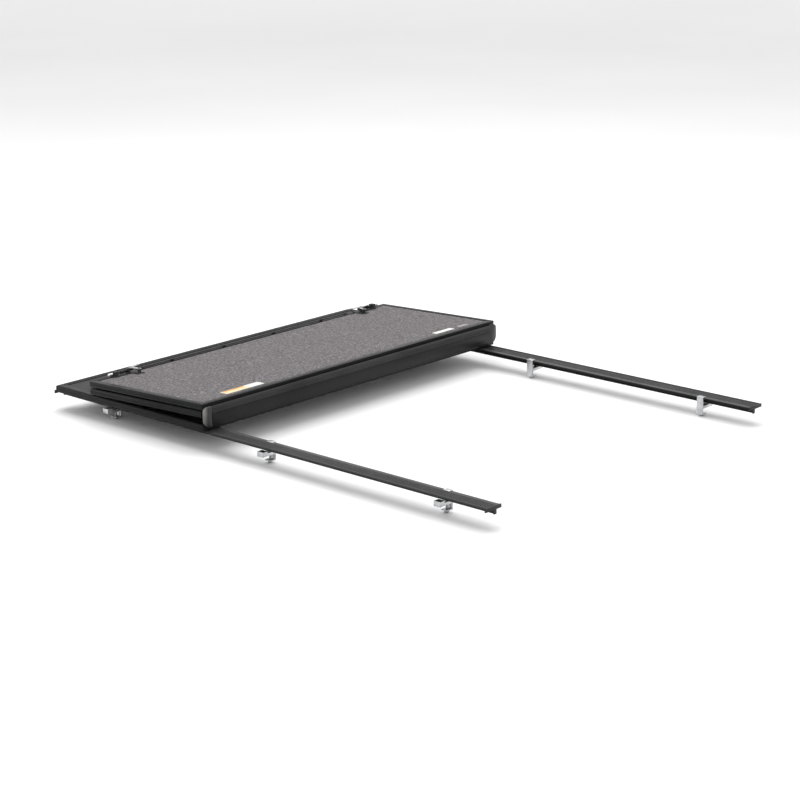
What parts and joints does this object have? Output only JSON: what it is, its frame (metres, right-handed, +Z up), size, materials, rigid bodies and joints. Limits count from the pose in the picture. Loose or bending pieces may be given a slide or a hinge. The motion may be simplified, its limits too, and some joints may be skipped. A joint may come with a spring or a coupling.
{
  "type": "folding tonneau cover",
  "caption": "Hard folding truck-bed cover, shown folded at the cab end: framed panels with a carpeted underside, a hinge web, side rails, bed clamps and pull-back latch bolts.",
  "frame": {"origin": "middle of the rails, level with the lowest clamp screws", "axes": "+X passenger side, +Y towards the cab, +Z up"},
  "size_m": [1.536, 1.98, 0.1667],
  "materials": {
    "frame_black": "black anodised, satin",
    "skin_black": "fine pebbled fibreglass skin, matt black",
    "carpet_grey": "heathered grey needle-felt headliner",
    "foam": "closed-cell foam board",
    "rubber": "matt black bulb seal",
    "rail_black": "black anodised, ribbed",
    "plastic_black": "moulded, matt",
    "clamp_silver": "mill finish",
    "steel": "zinc plated",
    "cap_grey": "light grey moulded plastic"
  },
  "bodies": {
    "rails_and_front_panel": {"side_rail_left": "rail_black", "side_rail_right": "rail_black", "rail_seal_left": "rubber", "rail_seal_right": "rubber", "rail_end_caps": "plastic_black", "clamp_brackets": "clamp_silver", "clamp_screws": "steel", "hold_down_brackets": "plastic_black", "front_panel_rear_frame": "frame_black", "front_panel_front_frame": "frame_black", "front_panel_left_frame": "frame_black", "front_panel_right_frame": "frame_black", "front_panel_skin": "skin_black", "front_panel_core": "foam", "front_panel_liner": "carpet_grey", "front_panel_corner_keys": "clamp_silver", "bulkhead_seal": "rubber"},
    "hinge_web": {"hinge_web": "frame_black", "hinge_web_end_caps": "cap_grey"},
    "folding_panels": {"middle_panel_web_frame": "frame_black", "middle_panel_fold_frame": "frame_black", "middle_panel_left_frame": "frame_black", "middle_panel_right_frame": "frame_black", "middle_panel_skin": "skin_black", "middle_panel_core": "foam", "middle_panel_liner": "carpet_grey", "rear_panel_fold_frame": "frame_black", "rear_panel_tailgate_frame": "frame_black", "rear_panel_left_frame": "frame_black", "rear_panel_right_frame": "frame_black", "rear_panel_skin": "skin_black", "rear_panel_core": "foam", "rear_panel_liner": "carpet_grey", "folding_panel_corner_keys": "clamp_silver", "fold_hinge_strip": "rubber", "tailgate_seal": "rubber", "middle_latch_bases": "plastic_black", "rear_latch_bases": "plastic_black", "latch_springs": "steel", "lever_pins": "steel", "latch_screws": "steel", "middle_release_cable": "plastic_black", "rear_release_cable": "plastic_black", "cable_clips": "plastic_black"},
    "clamp_jaw_1": {"clamp_jaw_1": "clamp_silver"},
    "clamp_jaw_2": {"clamp_jaw_2": "clamp_silver"},
    "clamp_jaw_3": {"clamp_jaw_3": "clamp_silver"},
    "clamp_jaw_4": {"clamp_jaw_4": "clamp_silver"},
    "clamp_jaw_5": {"clamp_jaw_5": "clamp_silver"},
    "clamp_jaw_6": {"clamp_jaw_6": "clamp_silver"},
    "hold_down_knob_left": {"hold_down_knob_left": "plastic_black"},
    "hold_down_knob_right": {"hold_down_knob_right": "plastic_black"},
    "middle_bolt_right": {"middle_bolt_right": "steel"},
    "middle_lever_right": {"middle_lever_right": "steel"},
    "middle_bolt_left": {"middle_bolt_left": "steel"},
    "middle_lever_left": {"middle_lever_left": "steel"},
    "rear_bolt_right": {"rear_bolt_right": "steel"},
    "rear_lever_right": {"rear_lever_right": "steel"},
    "rear_bolt_left": {"rear_bolt_left": "steel"},
    "rear_lever_left": {"rear_lever_left": "steel"}
  },
  "joints": [
    {"name": "web_fold", "type": "hinge", "parent": "rails_and_front_panel", "child": "hinge_web", "pos_m": [0, 0.212, 0.089], "axis": [1, 0, 0], "range_deg": [0, 90]},
    {"name": "panel_fold", "type": "hinge", "parent": "hinge_web", "child": "folding_panels", "pos_m": [0, 0.212, 0.151], "axis": [1, 0, 0], "range_deg": [0, 92.4]},
    {"name": "jaw_slide_1", "type": "slide", "parent": "rails_and_front_panel", "child": "clamp_jaw_1", "axis": [0, 0, 1], "range_m": [-0.016, 0.006]},
    {"name": "jaw_slide_2", "type": "slide", "parent": "rails_and_front_panel", "child": "clamp_jaw_2", "axis": [0, 0, 1], "range_m": [-0.016, 0.006]},
    {"name": "jaw_slide_3", "type": "slide", "parent": "rails_and_front_panel", "child": "clamp_jaw_3", "axis": [0, 0, 1], "range_m": [-0.016, 0.006]},
    {"name": "jaw_slide_4", "type": "slide", "parent": "rails_and_front_panel", "child": "clamp_jaw_4", "axis": [0, 0, 1], "range_m": [-0.016, 0.006]},
    {"name": "jaw_slide_5", "type": "slide", "parent": "rails_and_front_panel", "child": "clamp_jaw_5", "axis": [0, 0, 1], "range_m": [-0.016, 0.006]},
    {"name": "jaw_slide_6", "type": "slide", "parent": "rails_and_front_panel", "child": "clamp_jaw_6", "axis": [0, 0, 1], "range_m": [-0.016, 0.006]},
    {"name": "knob_turn_left", "type": "hinge", "parent": "rails_and_front_panel", "child": "hold_down_knob_left", "pos_m": [-0.655, 0.8, 0.05], "axis": [0, 0, 1], "continuous": true},
    {"name": "knob_turn_right", "type": "hinge", "parent": "rails_and_front_panel", "child": "hold_down_knob_right", "pos_m": [0.655, 0.8, 0.05], "axis": [0, 0, 1], "continuous": true},
    {"name": "middle_bolt_right_slide", "type": "slide", "parent": "folding_panels", "child": "middle_bolt_right", "axis": [-1, 0, 0], "range_m": [0, 0.018], "stiffness_N_per_m": 300, "springref_m": -0.01, "deforming": ["latch_springs"]},
    {"name": "middle_lever_right_turn", "type": "hinge", "parent": "folding_panels", "child": "middle_lever_right", "pos_m": [0.588, 0.72552, 0.1575], "axis": [0, 0.0419, 0.9991], "range_deg": [0, 29.65]},
    {"name": "middle_bolt_left_slide", "type": "slide", "parent": "folding_panels", "child": "middle_bolt_left", "axis": [1, 0, 0], "range_m": [0, 0.018], "stiffness_N_per_m": 300, "springref_m": -0.01, "deforming": ["latch_springs"]},
    {"name": "middle_lever_left_turn", "type": "hinge", "parent": "folding_panels", "child": "middle_lever_left", "pos_m": [-0.588, 0.72552, 0.1575], "axis": [0, -0.0419, -0.9991], "range_deg": [0, 29.65]},
    {"name": "rear_bolt_right_slide", "type": "slide", "parent": "folding_panels", "child": "rear_bolt_right", "axis": [-1, 0, 0], "range_m": [0, 0.018], "stiffness_N_per_m": 300, "springref_m": -0.01, "deforming": ["latch_springs"]},
    {"name": "rear_lever_right_turn", "type": "hinge", "parent": "folding_panels", "child": "rear_lever_right", "pos_m": [0.588, 0.30096, 0.10523], "axis": [0, -0.0419, -0.9991], "range_deg": [0, 29.65]},
    {"name": "rear_bolt_left_slide", "type": "slide", "parent": "folding_panels", "child": "rear_bolt_left", "axis": [1, 0, 0], "range_m": [0, 0.018], "stiffness_N_per_m": 300, "springref_m": -0.01, "deforming": ["latch_springs"]},
    {"name": "rear_lever_left_turn", "type": "hinge", "parent": "folding_panels", "child": "rear_lever_left", "pos_m": [-0.588, 0.30096, 0.10523], "axis": [0, 0.0419, 0.9991], "range_deg": [0, 29.65]}
  ],
  "couplings": [
    {"joint": "panel_fold", "follows": "web_fold", "ratio": 1.0267},
    {"joint": "middle_lever_right_turn", "follows": "middle_bolt_right_slide", "rad_per_m": 28.752},
    {"joint": "middle_lever_left_turn", "follows": "middle_bolt_left_slide", "rad_per_m": 28.752},
    {"joint": "rear_lever_right_turn", "follows": "rear_bolt_right_slide", "rad_per_m": 28.752},
    {"joint": "rear_lever_left_turn", "follows": "rear_bolt_left_slide", "rad_per_m": 28.752}
  ]
}
